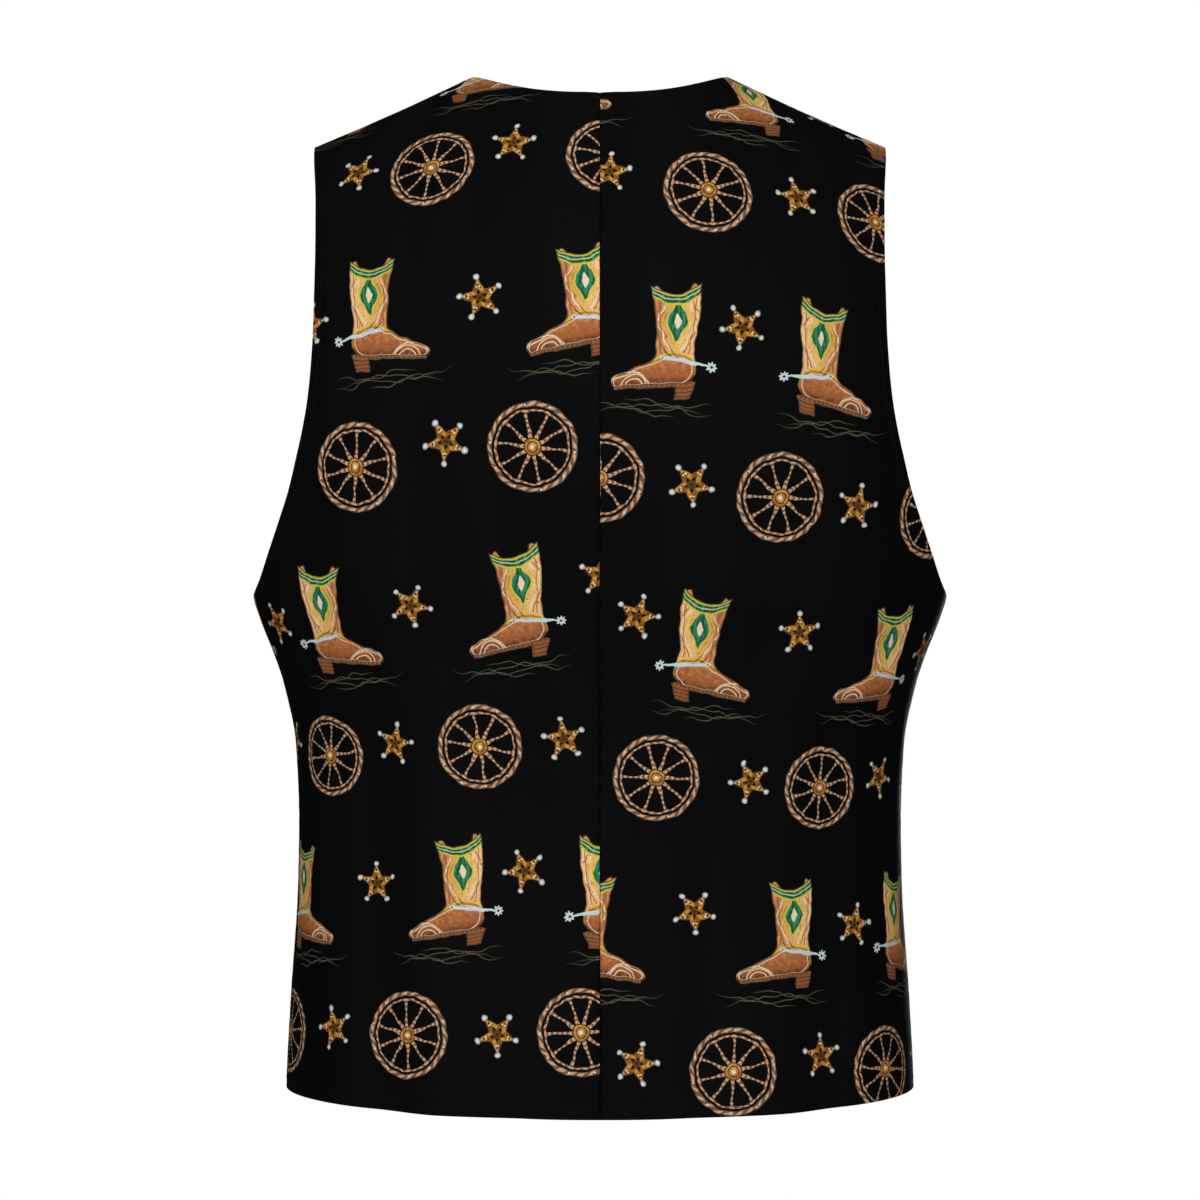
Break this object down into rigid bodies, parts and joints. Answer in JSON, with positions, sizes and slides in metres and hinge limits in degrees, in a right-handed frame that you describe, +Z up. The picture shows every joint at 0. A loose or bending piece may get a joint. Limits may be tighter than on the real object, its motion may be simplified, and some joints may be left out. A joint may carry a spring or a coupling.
{
  "type": "western vest",
  "caption": "Sleeveless western vest, filled out as worn: V neck, open armholes, lapped buttoned front, plain hem.",
  "frame": {"origin": "on the centre plane, midway between the shoulders, at the height where the vest bears on the wearer's shoulders", "axes": "+Z up towards the neck, -Y towards the front, +X towards the wearer's left"},
  "size_m": [0.4312, 0.2526, 0.661],
  "materials": {
    "vest_cloth": "matt black cotton with an all-over print",
    "button": "satin black"
  },
  "bodies": {
    "root": {"back_left": "vest_cloth", "back_right": "vest_cloth", "front_left": "vest_cloth", "front_right": "vest_cloth", "button_1": "button", "button_2": "button", "button_3": "button", "button_4": "button", "button_5": "button"}
  },
  "joints": []
}
